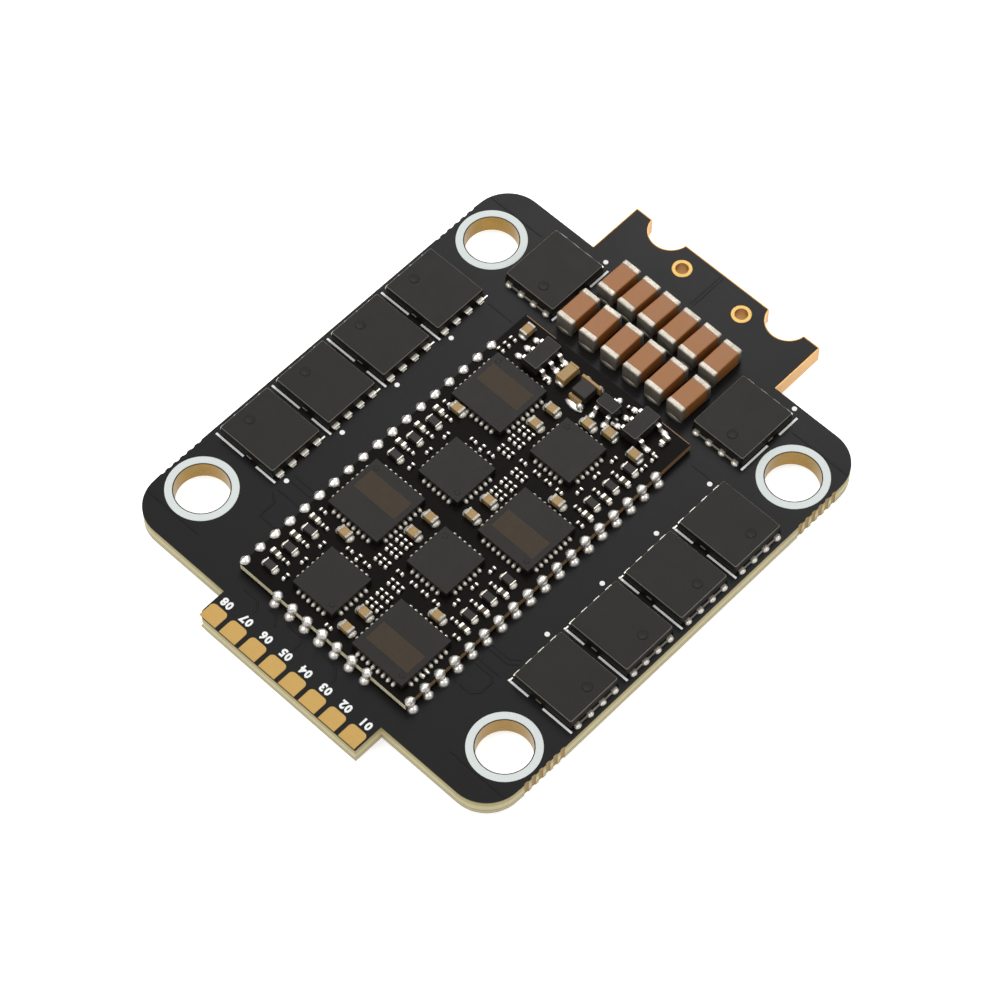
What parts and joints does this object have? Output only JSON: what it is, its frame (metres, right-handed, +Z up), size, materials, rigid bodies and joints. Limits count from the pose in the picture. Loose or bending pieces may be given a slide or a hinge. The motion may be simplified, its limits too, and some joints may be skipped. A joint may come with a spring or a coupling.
{
  "type": "electronic speed controller",
  "caption": "Multirotor speed controller stack: power board with MOSFETs and capacitors, control board on top, square mounting hole pattern, power tab and signal pad row.",
  "frame": {"origin": "centre of the square pattern of four mounting holes, in the plane of the bare copper pads on the underside", "axes": "+Y towards the power tab, -Y towards the signal tab, +Z up through the control board and the capacitors"},
  "size_m": [0.0366, 0.0477, 0.0044],
  "materials": {
    "board_mask": "satin black solder mask",
    "control_mask": "satin dark brown-black solder mask",
    "moulded_package": "fine matte moulded epoxy",
    "chip_package": "fine matte moulded epoxy",
    "capacitor_ceramic": "semi-gloss orange-brown ceramic with tinned ends",
    "tan_ceramic": "semi-gloss tan ceramic with tinned ends",
    "ferrite": "matte sintered ferrite",
    "shunt_metal": "brushed resistance alloy",
    "solder": "bright reflowed solder and tinned leads",
    "gold_plating": "thin gold plating over copper",
    "laminate": "routed glass-fibre laminate edge",
    "printed_white": "matte white printed marking"
  },
  "bodies": {
    "root": {"buck_capacitor": "tan_ceramic", "buck_converter": "chip_package", "control_board": "control_mask", "current_shunt": "shunt_metal", "gate_driver_1": "chip_package", "gate_driver_2": "chip_package", "gate_driver_3": "chip_package", "gate_driver_4": "chip_package", "input_capacitor_1": "capacitor_ceramic", "input_capacitor_10": "capacitor_ceramic", "input_capacitor_11": "capacitor_ceramic", "input_capacitor_12": "capacitor_ceramic", "input_capacitor_2": "capacitor_ceramic", "input_capacitor_3": "capacitor_ceramic", "input_capacitor_4": "capacitor_ceramic", "input_capacitor_5": "capacitor_ceramic", "input_capacitor_6": "capacitor_ceramic", "input_capacitor_7": "capacitor_ceramic", "input_capacitor_8": "capacitor_ceramic", "input_capacitor_9": "capacitor_ceramic", "linear_regulator": "chip_package", "lower_mosfet_1": "moulded_package", "lower_mosfet_10": "moulded_package", "lower_mosfet_11": "moulded_package", "lower_mosfet_12": "moulded_package", "lower_mosfet_13": "moulded_package", "lower_mosfet_14": "moulded_package", "lower_mosfet_2": "moulded_package", "lower_mosfet_3": "moulded_package", "lower_mosfet_4": "moulded_package", "lower_mosfet_5": "moulded_package", "lower_mosfet_6": "moulded_package", "lower_mosfet_7": "moulded_package", "lower_mosfet_8": "moulded_package", "lower_mosfet_9": "moulded_package", "main_board": "board_mask", "microcontroller_1": "chip_package", "microcontroller_2": "chip_package", "microcontroller_3": "chip_package", "microcontroller_4": "chip_package", "power_inductor": "ferrite", "supply_capacitor_1": "tan_ceramic", "supply_capacitor_2": "tan_ceramic", "supply_capacitor_3": "tan_ceramic", "supply_transistor": "chip_package", "upper_mosfet_1": "moulded_package", "upper_mosfet_10": "moulded_package", "upper_mosfet_2": "moulded_package", "upper_mosfet_3": "moulded_package", "upper_mosfet_4": "moulded_package", "upper_mosfet_5": "moulded_package", "upper_mosfet_6": "moulded_package", "upper_mosfet_7": "moulded_package", "upper_mosfet_8": "moulded_package", "upper_mosfet_9": "moulded_package"}
  },
  "joints": []
}
